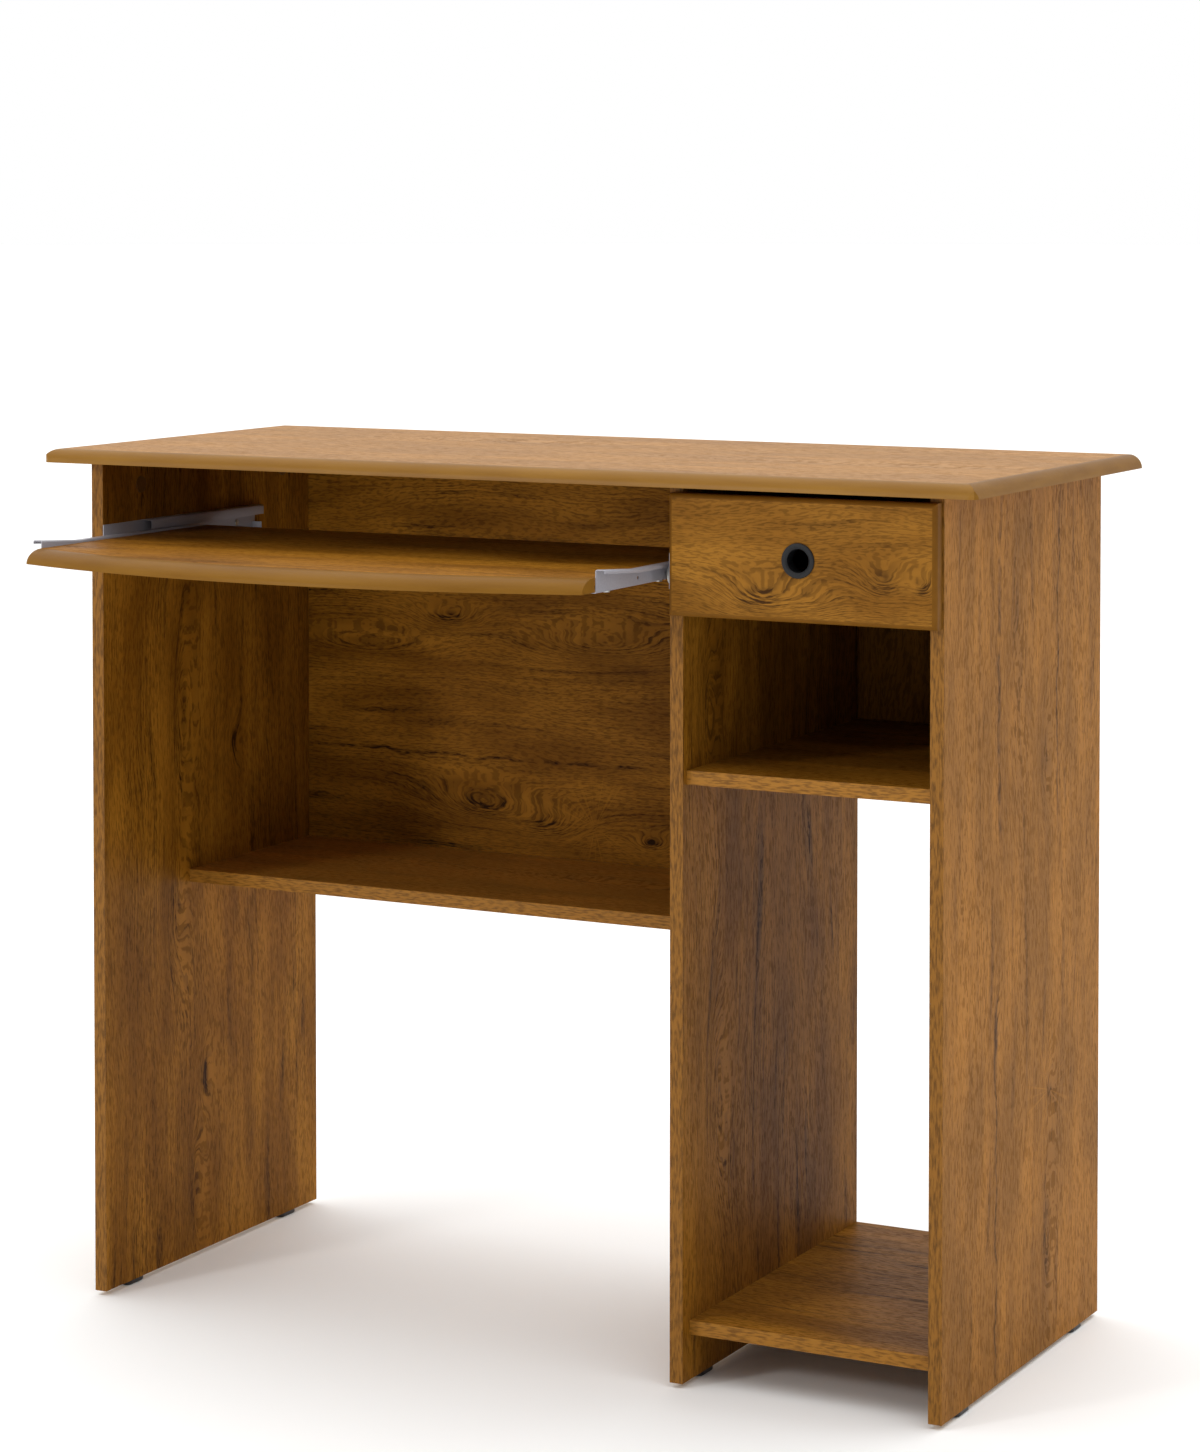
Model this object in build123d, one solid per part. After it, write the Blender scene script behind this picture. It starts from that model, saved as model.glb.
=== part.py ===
from build123d import *
import math
import os

# A computer desk of 12 mm faced boards: a worktop on three upright panels, a keyboard tray that
# slides out between the left panel and the divider, and a drawer between the divider and the
# right panel. +X is to the user's right, +Y to the back, +Z up. The origin is on the floor, under
# the middle of the box that the desk fills with its tray pulled part of the way out.

# Driving dimensions, millimetres
board = 12.0
tape = 0.5                       # edge tape glued on the front edges
top_width = 900.0
top_height = 768.0
side_overhang = 36.5             # worktop past the outer panels
front_overhang = 24.0
back_overhang = 4.0
moulding = 12.0                  # worktop edge moulding, as deep as the board is thick
corner_radius = 8.0
panel_depth = 360.0
foot_height = 4.0
drawer_bay = 221.4               # clear width between divider and right panel
lower_shelf_top = 367.0
lower_shelf_setback = 137.5
niche_shelf_top = 518.4
niche_shelf_setback = 7.0
bottom_shelf_top = 54.7
bottom_shelf_setback = 13.5
back_board = 3.0                 # hardboard back of the niche

tray_top = 688.5
tray_side_depth = 283.0          # front to back at the tray's ends
tray_bow = 48.0                  # how far the curved front stands past the ends
tray_nose = 20.0
tray_out = 110.0                 # how far out the tray stands here, from closed
tray_runner_inset = 23.0         # tray's end to the front of its runner
tray_slide_length = 250.0

drawer_front_width = 239.5
drawer_front_shift = 1.3         # the front board sits this far right of the bay's middle
drawer_front_bottom = 648.8
drawer_front_height = 102.0
drawer_front_gap = 1.0           # behind the drawer front, to the panels
drawer_front_rounding = 4.5
drawer_side_height = 80.0
drawer_runner_bottom = 659.0
drawer_slide_length = 300.0
drawer_bottom_board = 3.0
drawer_groove = 4.0
drawer_bottom_lift = 8.0         # edge of the drawer side to the groove

slide_gap = 12.6                 # tray or drawer side to the panel, filled by a slide
sheet = 1.0                      # steel of the slides
runner_flange = 1.2
runner_height = 15.4
runner_nose_height = 19.8        # the flange rises at the front, so that the slide drops shut
runner_ramp = 60.0
runner_foot = 11.0               # width of the flange under the board
runner_lip_at = 8.4
runner_lip = 3.2
rail_drop = 6.0                  # rail's lowest edge below the runner's
rail_height = 30.8
rail_lower_flange_from = 34.0
rail_upper_flange_from = 62.0
rail_lip_at = 1.5
rail_lower_lip = 2.5
rail_stop_at = 246.0             # from the front, on the tray's rail
roller_radius = 9.35
roller_bore = 2.55
roller_from = 3.0                # from the board's side
roller_width = 5.0
front_roller_at = 22.0
rear_roller_inset = 14.0         # from the runner's back end
axle_radius = 2.5
axle_shoulder = 3.5
axle_head = 4.0
axle_head_height = 0.6
axle_play = 0.2                  # between a roller and its rivet's head
roller_rounding = 0.6
roller_hollow = 1.0              # depth of the dish between hub and rim
roller_wall = 1.8                # thickness of the hub and of the rim
spare_hole_at = 74.0             # unused screw hole in the runner's web
spare_hole_z = 6.7
rail_screw_ends = (46.0, 32.0)   # from the rail's front and back ends
rail_screw_z = 9.5
runner_screw_end = 30.0
slide_screw = 10.0
lip_clearance = 0.6              # between the runner and the rail's upper lip

cam_radius = 6.0
cam_depth = 9.5
cam_reach = 24.0                 # joint to the middle of the cam
bolt_radius = 2.5
bolt_screw = 9.0                 # depth of the bolt's screw in the other board
dowel_radius = 3.0
dowel_short = 9.0
dowel_long = 16.0
cap_radius = 7.5
cap_height = 1.2
top_bolt_places = (60.0, 300.0)  # from the panels' front edges
top_dowel_place = 180.0
shelf_bolt_spacing = 140.0
modesty_bolt_inset = 80.0
drawer_bolt_low = 28.0           # from the drawer side's lower edge
drawer_bolt_high = 14.0          # from its upper edge
drawer_dowel_place = 47.0
drawer_screw_low = 30.0

foot_length = 27.0
foot_width = 11.0
foot_inset = 36.0
foot_recess = 1.4                # depth of the holes that take the nail heads
foot_recess_radius = 2.4
nail_spacing = 14.0
nail_length = 14.0
back_nail_inset = 25.0
back_reveal = 2.0                # the niche back stops short of the panel's outer face

ring_flange_radius = 14.5
ring_barrel_radius = 12.0
ring_bore = 9.8
ring_flange_height = 1.6

# Places worked out from the driving dimensions
tray_reach = tray_out + tray_runner_inset + tray_bow
total_depth = tray_reach + panel_depth + back_overhang
front_y = tray_reach - total_depth / 2           # front edges of the panels
back_y = front_y + panel_depth
top_bottom = top_height - board
panel_span = top_width - 2 * side_overhang
left_x = -panel_span / 2                         # outer faces of the outer panels
right_x = panel_span / 2
tray_bay_left = left_x + board
drawer_bay_right = right_x - board
drawer_bay_left = drawer_bay_right - drawer_bay
tray_bay_right = drawer_bay_left - board
tray_bay_middle = (tray_bay_left + tray_bay_right) / 2
drawer_bay_middle = (drawer_bay_left + drawer_bay_right) / 2
tray_width = tray_bay_right - tray_bay_left - 2 * slide_gap
drawer_width = drawer_bay - 2 * slide_gap
tray_bottom = tray_top - board
tray_end_y = front_y - tray_out - tray_runner_inset
tray_front_y = tray_end_y - tray_bow
tray_back_y = tray_end_y + tray_side_depth
tray_radius = ((tray_width / 2) ** 2 + tray_bow**2) / (2 * tray_bow)
tray_runner_y = front_y - tray_out
tray_runner_z = tray_bottom - runner_flange
drawer_back_y = front_y + drawer_slide_length
drawer_rear_face = front_y - drawer_front_gap
drawer_side_bottom = drawer_runner_bottom + runner_flange
roller_z = (runner_height - rail_drop) / 2        # midway between the flanges it runs between


def block(x, y, z):
    """A box between two limits on each axis."""
    middle = [sum(limits) / 2 for limits in (x, y, z)]
    size = [limits[1] - limits[0] for limits in (x, y, z)]
    return Pos(*middle) * Box(*size)


def rod(start, direction, length, radius):
    """A round rod from a point along a direction."""
    return Plane(start, z_dir=direction) * Cylinder(
        radius, length, align=(Align.CENTER, Align.CENTER, Align.MIN)
    )


def near(a, b):
    """True where the boxes around two shapes meet."""
    first, second = a.bounding_box(), b.bounding_box()
    return all(
        getattr(first.min, axis) <= getattr(second.max, axis)
        and getattr(second.min, axis) <= getattr(first.max, axis)
        for axis in "XYZ"
    )


def drilled(solid, *fasteners):
    """The solid with the holes for these lists of fasteners, without the chips left in slots."""
    for row in fasteners:
        for fastener in row:
            if near(solid, fastener):
                solid = solid - fastener
    return max(solid.solids(), key=lambda one: one.volume)


def group(solids):
    """Like pieces, kept as separate solids in one node."""
    return Compound([one for shape in solids for one in shape.solids()])


# Fasteners ------------------------------------------------------------------------------------


def cam_bolt(joint, into):
    """Steel bolt: its screw in one board, its shank in the board that holds the cam."""
    into = Vector(*into)
    return rod(Vector(*joint) - into * bolt_screw, into, bolt_screw + cam_reach + 1, bolt_radius)


def cam_lock(joint, into, face, bolt):
    """Zinc cam pressed into a board's face, with a cross slot, closed on the bolt's end."""
    into, face = Vector(*into), Vector(*face)
    mouth = Vector(*joint) + into * cam_reach + face * (board / 2)
    cam = rod(mouth, -face, cam_depth, cam_radius)
    slot = Plane(mouth, x_dir=into, z_dir=face)
    cross = slot * Box(8, 1.4, 2.4) + slot * Box(1.4, 8, 2.4)
    return cam - bolt - cross


def dowel(joint, into):
    """Fluted beech dowel, drawn plain, glued across a joint."""
    into = Vector(*into)
    return rod(Vector(*joint) - into * dowel_short, into, dowel_short + dowel_long, dowel_radius)


def screw(point, into, length, radius=1.75, head_radius=3.0, head_height=1.0):
    """Pan-head screw whose head rests at the point."""
    into = Vector(*into)
    head = rod(Vector(*point) - into * head_height, into, head_height, head_radius)
    recess = Plane(Vector(*point) - into * head_height, z_dir=into) * Box(2.6, 0.7, 1.0)
    return head + rod(point, into, length, radius) - recess


cam_bolts, cam_locks, cam_caps, dowels = [], [], [], []


def joint_boards(bolt_points, dowel_points, into, face, capped=False):
    """Bolts with cams, and dowels, across one joint. into points into the board with the cams."""
    for point in bolt_points:
        bolt = cam_bolt(point, into)
        cam_bolts.append(bolt)
        cam_locks.append(cam_lock(point, into, face, bolt))
        if capped:
            mouth = Vector(*point) + Vector(*into) * cam_reach + Vector(*face) * (board / 2)
            cam_caps.append(rod(mouth, face, cap_height, cap_radius))
    for point in dowel_points:
        dowels.append(dowel(point, into))


bolt_ys = [front_y + place for place in top_bolt_places]
dowel_y = front_y + top_dowel_place
for panel_x, inner in ((left_x, 1), (drawer_bay_left - board, 1), (drawer_bay_right, -1)):
    middle_x = panel_x + board / 2
    joint_boards(
        [(middle_x, y, top_bottom) for y in bolt_ys],
        [(middle_x, dowel_y, top_bottom)],
        (0, 0, -1),
        (inner, 0, 0),
        capped=True,
    )

shelves = {
    "lower_shelf": (tray_bay_left, tray_bay_right, lower_shelf_setback, lower_shelf_top),
    "niche_shelf": (drawer_bay_left, drawer_bay_right, niche_shelf_setback, niche_shelf_top),
    "bottom_shelf": (drawer_bay_left, drawer_bay_right, bottom_shelf_setback, bottom_shelf_top),
}
for x0, x1, setback, top_z in shelves.values():
    middle_z = top_z - board / 2
    middle_y = front_y + (setback + panel_depth) / 2
    shelf_bolt_ys = [middle_y + half * shelf_bolt_spacing / 2 for half in (-1, 1)]
    for x, into in ((x0, 1), (x1, -1)):
        joint_boards(
            [(x, y, middle_z) for y in shelf_bolt_ys],
            [(x, middle_y, middle_z)],
            (into, 0, 0),
            (0, 0, -1),
        )

modesty_middle_y = back_y - board / 2
modesty_bolt_zs = (lower_shelf_top + modesty_bolt_inset, top_bottom - modesty_bolt_inset)
for x, into in ((tray_bay_left, 1), (tray_bay_right, -1)):
    joint_boards(
        [(x, modesty_middle_y, z) for z in modesty_bolt_zs],
        [(x, modesty_middle_y, (lower_shelf_top + top_bottom) / 2)],
        (into, 0, 0),
        (0, 1, 0),
    )

drawer_bolts, drawer_cams, drawer_dowels, drawer_screws = [], [], [], []
drawer_side_top = drawer_side_bottom + drawer_side_height
for side in (-1, 1):
    side_middle = drawer_bay_middle + side * (drawer_width - board) / 2
    for z in (drawer_side_bottom + drawer_bolt_low, drawer_side_top - drawer_bolt_high):
        point = (side_middle, drawer_rear_face, z)
        bolt = cam_bolt(point, (0, 1, 0))
        drawer_bolts.append(bolt)
        drawer_cams.append(cam_lock(point, (0, 1, 0), (-side, 0, 0), bolt))
    drawer_dowels.append(
        dowel((side_middle, drawer_rear_face, drawer_side_bottom + drawer_dowel_place), (0, 1, 0))
    )
    outer = drawer_bay_middle + side * drawer_width / 2
    for z in (drawer_side_bottom + drawer_screw_low, drawer_side_top - drawer_bolt_high):
        drawer_screws.append(
            screw((outer, drawer_back_y - board / 2, z), (-side, 0, 0), 32, 1.75, 3.5, 0.8)
        )


# Slides ---------------------------------------------------------------------------------------
# Drawn for the right side: x is 0 at the side of the tray or drawer and grows towards the panel,
# y is 0 at the front end, z is 0 at the runner's underside.


def strip(points, x0, x1):
    """A flat shape in the YZ plane, pushed from x0 to x1."""
    face = make_face(Polyline(*points, close=True))
    return extrude(Plane((x0, 0, 0), x_dir=(0, 1, 0), z_dir=(1, 0, 0)) * face, x1 - x0)


def under_top_line(length, depth):
    """Outline of a band of this depth below the runner's top line."""
    top = [(0, runner_nose_height), (runner_ramp, runner_height), (length, runner_height)]
    return top + [(y, z - depth) for y, z in reversed(top)]


def make_runner(length, axle):
    """Steel runner screwed under the tray or drawer side, with its rear roller's axle hole."""
    roller_zone = length - rear_roller_inset * 2
    web = strip(
        [
            (0, 0),
            (length, 0),
            (length, runner_height),
            (runner_ramp, runner_height),
            (0, runner_nose_height),
        ],
        0,
        sheet,
    )
    foot = block((-runner_foot, sheet), (0, length), (0, runner_flange))
    flange = strip(under_top_line(roller_zone, runner_flange), 0, runner_lip_at + sheet)
    lip = strip(under_top_line(roller_zone, runner_lip), runner_lip_at, runner_lip_at + sheet)
    spare_hole = rod((-sheet, spare_hole_at, spare_hole_z), (1, 0, 0), 3 * sheet, 1.6)
    return web + foot + flange + lip - spare_hole - axle


def make_rail(length, axle):
    """Steel rail screwed to the panel: a plain web in front, a lipped channel behind."""
    web_x = slide_gap - sheet
    bottom = -rail_drop
    top = bottom + rail_height
    web = block((web_x, slide_gap), (0, length), (bottom, top))
    lower = block(
        (rail_lip_at, slide_gap), (rail_lower_flange_from, length), (bottom, bottom + runner_flange)
    )
    lower_lip = block(
        (rail_lip_at, rail_lip_at + sheet),
        (rail_lower_flange_from, length),
        (bottom, bottom + runner_flange + rail_lower_lip),
    )
    upper = block((rail_lip_at, slide_gap), (rail_upper_flange_from, length), (top - sheet, top))
    upper_lip = block(
        (rail_lip_at, rail_lip_at + sheet),
        (rail_upper_flange_from, length),
        (runner_height + lip_clearance, top),
    )
    stop_y = length - tray_slide_length + rail_stop_at
    stop = block((rail_lip_at, slide_gap), (stop_y, stop_y + sheet), (bottom, roller_z + 4))
    return web + lower + lower_lip + upper + upper_lip + stop - axle


def make_front_axle():
    """Rivet through the rail that carries the front roller."""
    head_x = roller_from - axle_play - axle_head_height
    pin = rod((head_x, front_roller_at, roller_z), (1, 0, 0), slide_gap - head_x, axle_radius)
    head = rod((head_x, front_roller_at, roller_z), (1, 0, 0), axle_head_height, axle_head)
    shoulder_x = roller_from + roller_width + axle_play / 2
    shoulder = rod(
        (shoulder_x, front_roller_at, roller_z),
        (1, 0, 0),
        slide_gap - sheet - shoulder_x,
        axle_shoulder,
    )
    return pin + head + shoulder


def make_rear_axle(length):
    """Rivet through the runner that carries the rear roller."""
    y = length - rear_roller_inset
    head_x = roller_from + roller_width + axle_play
    pin = rod((0, y, roller_z), (1, 0, 0), head_x + axle_head_height, axle_radius)
    head = rod((head_x, y, roller_z), (1, 0, 0), axle_head_height, axle_head)
    shoulder_length = roller_from - axle_play / 2 - sheet
    shoulder = rod((sheet, y, roller_z), (1, 0, 0), shoulder_length, axle_shoulder)
    return pin + head + shoulder


def make_roller(y):
    """Moulded roller with a hub, a web and a rounded rim, free to turn on its rivet."""
    start = (roller_from, y, roller_z)
    wheel = rod(start, (1, 0, 0), roller_width, roller_radius)
    rims = wheel.edges().filter_by(GeomType.CIRCLE)
    wheel = fillet(rims, roller_rounding)
    for x, direction in ((roller_from, 1), (roller_from + roller_width, -1)):
        face = ((x, y, roller_z), (direction, 0, 0), roller_hollow)
        hollow = rod(*face, roller_radius - roller_wall)
        hub = rod(*face, roller_bore + roller_wall)
        wheel = wheel - (hollow - hub)
    return wheel - rod(start, (1, 0, 0), roller_width, roller_bore)


def placed(shape, side, face_x, y, z):
    """Puts a slide's piece on the right (side 1) or, mirrored, on the left (side -1)."""
    if side < 0:
        shape = mirror(shape, about=Plane.YZ)
    return Pos(face_x, y, z) * shape


nodes = {}
rail_screws, front_axles = [], []
runner_screws = {"tray": [], "drawer": []}
rear_axles = {"tray": [], "drawer": []}
slide_sets = (
    ("tray", tray_bay_middle, tray_width, tray_slide_length, tray_runner_y, tray_runner_z),
    (
        "drawer",
        drawer_bay_middle,
        drawer_width,
        drawer_slide_length,
        front_y,
        drawer_runner_bottom,
    ),
)
for owner, middle_x, width, length, runner_y, runner_z in slide_sets:
    for side, word in ((-1, "left"), (1, "right")):
        face_x = middle_x + side * width / 2
        front_axle, rear_axle = make_front_axle(), make_rear_axle(length)
        runner, rail = make_runner(length, rear_axle), make_rail(length, front_axle)
        wall_screws = [
            screw((slide_gap - sheet, y, rail_screw_z), (1, 0, 0), slide_screw)
            for y in (rail_screw_ends[0], length / 2, length - rail_screw_ends[1])
        ]
        board_screws = [
            screw((-runner_foot / 2, y, 0), (0, 0, 1), slide_screw, 1.75, 3.2, 1.6)
            for y in (runner_screw_end, length / 2, length - runner_screw_end)
        ]
        rail = drilled(rail, wall_screws)
        runner = drilled(runner, board_screws)
        at_rail = (side, face_x, front_y, runner_z)
        at_runner = (side, face_x, runner_y, runner_z)
        nodes[f"{owner}_{word}_rail"] = placed(rail, *at_rail)
        nodes[f"{owner}_{word}_runner"] = placed(runner, *at_runner)
        nodes[f"{owner}_{word}_front_roller"] = placed(make_roller(front_roller_at), *at_rail)
        nodes[f"{owner}_{word}_rear_roller"] = placed(
            make_roller(length - rear_roller_inset), *at_runner
        )
        rail_screws += [placed(one, *at_rail) for one in wall_screws]
        front_axles.append(placed(front_axle, *at_rail))
        runner_screws[owner] += [placed(one, *at_runner) for one in board_screws]
        rear_axles[owner].append(placed(rear_axle, *at_runner))

nodes["rail_screws"] = group(rail_screws)
nodes["front_roller_axles"] = group(front_axles)
for owner in ("tray", "drawer"):
    nodes[f"{owner}_runner_screws"] = group(runner_screws[owner])
    nodes[f"{owner}_roller_axles"] = group(rear_axles[owner])


# Feet -----------------------------------------------------------------------------------------

feet, foot_nails = [], []
panel_middles = (left_x + board / 2, drawer_bay_left - board / 2, right_x - board / 2)
foot_middles = (front_y + foot_inset + foot_length / 2, back_y - foot_inset - foot_length / 2)
for x in panel_middles:
    for y in foot_middles:
        outline = Plane((x, y, 0)) * SlotOverall(foot_length, foot_width, rotation=90)
        foot = extrude(outline, foot_height)
        foot = chamfer(foot.faces().sort_by(Axis.Z)[0].edges(), 1.0)
        nails = []
        for end in (-1, 1):
            nail_y = y + end * nail_spacing / 2
            foot = foot - rod((x, nail_y, 0), (0, 0, 1), foot_recess, foot_recess_radius)
            nails.append(screw((x, nail_y, foot_recess + 1), (0, 0, 1), nail_length, 0.9, 2.2, 1))
        feet.append(drilled(foot, nails))
        foot_nails += nails
nodes["feet"] = group(feet)
nodes["foot_nails"] = group(foot_nails)


# Panels and shelves ---------------------------------------------------------------------------


def make_panel(x0):
    """Upright board from the feet to the worktop, behind its edge tape."""
    upright = block(
        (x0, x0 + board), (front_y + tape, back_y), (foot_height, top_bottom)
    )
    return drilled(upright, cam_bolts, cam_locks, dowels, rail_screws, foot_nails)


panel_starts = {
    "left_panel": left_x,
    "divider_panel": drawer_bay_left - board,
    "right_panel": drawer_bay_right,
}
for name, x0 in panel_starts.items():
    nodes[name] = make_panel(x0)
nodes["panel_edge_tapes"] = group(
    [
        block((x0, x0 + board), (front_y, front_y + tape), (foot_height, top_bottom))
        for x0 in panel_starts.values()
    ]
)

shelf_tapes = []
for name, (x0, x1, setback, top_z) in shelves.items():
    start_y = front_y + setback
    shelf = block((x0, x1), (start_y + tape, back_y), (top_z - board, top_z))
    nodes[name] = drilled(shelf, cam_bolts, cam_locks, dowels)
    shelf_tapes.append(block((x0, x1), (start_y, start_y + tape), (top_z - board, top_z)))
nodes["shelf_edge_tapes"] = group(shelf_tapes)

modesty = block(
    (tray_bay_left, tray_bay_right), (back_y - board, back_y), (lower_shelf_top, top_bottom)
)
nodes["modesty_panel"] = drilled(modesty, cam_bolts, cam_locks, dowels)


# Niche back, nailed on the rear edges ---------------------------------------------------------

niche_back_x = (drawer_bay_left - board + back_reveal, right_x - back_reveal)
niche_back_z = (niche_shelf_top - board, top_bottom)
nail_z0, nail_z1 = (niche_back_z[0] + back_nail_inset, niche_back_z[1] - back_nail_inset)
back_nails = []
for x in (drawer_bay_left - board / 2, right_x - board / 2):
    for z in (nail_z0, (nail_z0 + nail_z1) / 2, nail_z1):
        point = (x, back_y + back_board, z)
        back_nails.append(screw(point, (0, -1, 0), nail_length, 0.8, 2.0, 0.6))
nodes["niche_back"] = drilled(
    block(niche_back_x, (back_y, back_y + back_board), niche_back_z), back_nails
)
for name in ("divider_panel", "right_panel"):
    nodes[name] = drilled(nodes[name], back_nails)
nodes["back_nails"] = group(back_nails)


# Worktop --------------------------------------------------------------------------------------


def nose_profile(depth, height):
    """Quarter ellipse: flat below and at the glue line, round from the top to a sharp edge."""
    curve = EllipticalCenterArc((0, 0), depth, height, start_angle=0, arc_size=90)
    return make_face([Line((0, 0), (depth, 0)), curve, Line((0, height), (0, 0))])


top_front_y = front_y - front_overhang
top_back_y = back_y + back_overhang
half_top = top_width / 2
glue_x = half_top - moulding
glue_y = top_front_y + moulding

top_outline = block(
    (-half_top, half_top), (top_front_y, top_back_y), (top_bottom, top_height)
)
front_corners = top_outline.edges().filter_by(Axis.Z).group_by(Axis.Y)[0]
top_outline = fillet(front_corners, corner_radius)

top_board = block((-glue_x, glue_x), (glue_y, top_back_y), (top_bottom, top_height))
nodes["top_board"] = drilled(top_board, cam_bolts, dowels)


def mitre(points):
    """Prism over a plan outline, used to cut the moulding's mitred ends."""
    return extrude(Plane((0, 0, top_bottom)) * make_face(Polyline(*points, close=True)), board)


profile = nose_profile(moulding, board)
front_moulding = extrude(
    Plane((half_top, glue_y, top_bottom), x_dir=(0, -1, 0), z_dir=(-1, 0, 0)) * profile, top_width
)
front_mitre = mitre(
    [(-half_top, top_front_y), (half_top, top_front_y), (glue_x, glue_y), (-glue_x, glue_y)]
)
nodes["top_front_moulding"] = front_moulding & front_mitre & top_outline
for word, side in (("left", -1), ("right", 1)):
    start_y = top_back_y if side > 0 else top_front_y
    side_moulding = extrude(
        Plane((side * glue_x, start_y, top_bottom), x_dir=(side, 0, 0), z_dir=(0, -side, 0))
        * profile,
        top_back_y - top_front_y,
    )
    side_mitre = mitre(
        [
            (side * half_top, top_front_y),
            (side * half_top, top_back_y),
            (side * glue_x, top_back_y),
            (side * glue_x, glue_y),
        ]
    )
    nodes[f"top_{word}_moulding"] = side_moulding & side_mitre & top_outline


# Keyboard tray --------------------------------------------------------------------------------

tray_x = (tray_bay_middle - tray_width / 2, tray_bay_middle + tray_width / 2)
tray_centre_y = tray_front_y + tray_radius
glue_radius = tray_radius - tray_nose
tray_blank = block(tray_x, (tray_front_y, tray_back_y), (tray_bottom, tray_top))
core = Pos(tray_bay_middle, tray_centre_y, tray_top - board / 2) * Cylinder(glue_radius, board)
nodes["tray_board"] = drilled(tray_blank & core, runner_screws["tray"])

turn = 2 * math.degrees(math.asin(tray_width / 2 / tray_radius)) + 4
nose_plane = Plane(
    (tray_bay_middle, tray_centre_y - glue_radius, tray_bottom),
    x_dir=(0, -1, 0),
    z_dir=(-1, 0, 0),
)
nose_axis = Axis((tray_bay_middle, tray_centre_y, 0), (0, 0, 1))
nose = revolve(
    (nose_plane * nose_profile(tray_nose, board)).rotate(nose_axis, -turn / 2),
    nose_axis,
    turn,
)
nodes["tray_moulding"] = nose & tray_blank


# Drawer ---------------------------------------------------------------------------------------

drawer_front_middle = drawer_bay_middle + drawer_front_shift
drawer_front_x = (
    drawer_front_middle - drawer_front_width / 2,
    drawer_front_middle + drawer_front_width / 2,
)
drawer_front_top = drawer_front_bottom + drawer_front_height
drawer_front_y = drawer_rear_face - board
pull_z = drawer_front_bottom + drawer_front_height / 2

bottom_z = drawer_side_bottom + drawer_bottom_lift
half_box = drawer_width / 2 - board
bottom_x = (
    drawer_bay_middle - half_box - drawer_groove,
    drawer_bay_middle + half_box + drawer_groove,
)
drawer_bottom = block(
    bottom_x,
    (drawer_rear_face - drawer_groove, drawer_back_y),
    (bottom_z, bottom_z + drawer_bottom_board),
)

front_board = block(
    drawer_front_x, (drawer_front_y, drawer_rear_face), (drawer_front_bottom, drawer_front_top)
)
front_board = fillet(front_board.faces().sort_by(Axis.Y)[0].edges(), drawer_front_rounding)
pull_start = (drawer_bay_middle, drawer_front_y - ring_flange_height, pull_z)
pull_hole = rod(
    pull_start, (0, 1, 0), board + ring_flange_height, ring_barrel_radius
)
front_board = front_board - pull_hole - drawer_bottom
nodes["drawer_front"] = drilled(front_board, drawer_bolts, drawer_dowels)

ring = pull_hole + rod(pull_start, (0, 1, 0), ring_flange_height, ring_flange_radius)
ring = fillet(ring.faces().sort_by(Axis.Y)[0].edges(), ring_flange_height - 0.3)
ring = ring - rod(pull_start, (0, 1, 0), board + ring_flange_height, ring_bore)
inner_edge = ring.faces().sort_by(Axis.Y)[0].edges().sort_by(SortBy.LENGTH)[0]
nodes["drawer_pull_ring"] = fillet(inner_edge, 0.8)

for word, side in (("left", -1), ("right", 1)):
    outer = drawer_bay_middle + side * drawer_width / 2
    inner = outer - side * board
    side_board = block(
        sorted((outer, inner)),
        (drawer_rear_face, drawer_back_y),
        (drawer_side_bottom, drawer_side_top),
    )
    nodes[f"drawer_{word}_side"] = drilled(
        side_board - drawer_bottom,
        drawer_bolts,
        drawer_cams,
        drawer_dowels,
        drawer_screws,
        runner_screws["drawer"],
    )

back = block(
    (drawer_bay_middle - half_box, drawer_bay_middle + half_box),
    (drawer_back_y - board, drawer_back_y),
    (bottom_z + drawer_bottom_board, drawer_side_top),
)
nodes["drawer_back"] = drilled(back, drawer_screws)
nodes["drawer_bottom"] = drawer_bottom
nodes["drawer_cam_bolts"] = group(drawer_bolts)
nodes["drawer_cam_locks"] = group(drawer_cams)
nodes["drawer_dowels"] = group(drawer_dowels)
nodes["drawer_back_screws"] = group(drawer_screws)

nodes["cam_bolts"] = group(cam_bolts)
nodes["cam_locks"] = group(cam_locks)
nodes["cam_caps"] = group(cam_caps)
nodes["dowels"] = group(dowels)

os.makedirs("parts", exist_ok=True)
for name, shape in nodes.items():
    export_step(shape, f"parts/{name}.step")
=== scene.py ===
import math

import bmesh
import bpy
from mathutils import Matrix, Vector


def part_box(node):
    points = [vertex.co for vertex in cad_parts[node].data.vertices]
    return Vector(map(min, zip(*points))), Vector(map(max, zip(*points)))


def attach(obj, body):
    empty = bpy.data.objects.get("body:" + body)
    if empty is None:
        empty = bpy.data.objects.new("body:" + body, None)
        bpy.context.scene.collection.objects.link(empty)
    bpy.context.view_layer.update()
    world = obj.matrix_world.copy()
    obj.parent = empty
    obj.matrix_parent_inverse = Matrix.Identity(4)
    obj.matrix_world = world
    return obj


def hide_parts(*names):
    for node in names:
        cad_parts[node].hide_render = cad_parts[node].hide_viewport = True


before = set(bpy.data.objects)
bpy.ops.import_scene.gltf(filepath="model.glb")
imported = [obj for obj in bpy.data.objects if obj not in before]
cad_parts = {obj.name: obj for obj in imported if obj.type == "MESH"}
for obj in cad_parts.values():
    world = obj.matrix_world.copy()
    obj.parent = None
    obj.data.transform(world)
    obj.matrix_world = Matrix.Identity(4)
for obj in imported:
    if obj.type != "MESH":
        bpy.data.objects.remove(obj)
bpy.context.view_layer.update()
mm = 0.001
bpy.ops.object.select_all(action="DESELECT")


# Camera and studio ------------------------------------------------------------------------------
# The desk stands on a plain white floor. White walls light it from the sides and behind, less from
# the front, with a soft ceiling and one small lamp in front on the left. The lens is long, 1 m up.

scene = bpy.context.scene
scene.view_settings.view_transform = "Standard"

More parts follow.
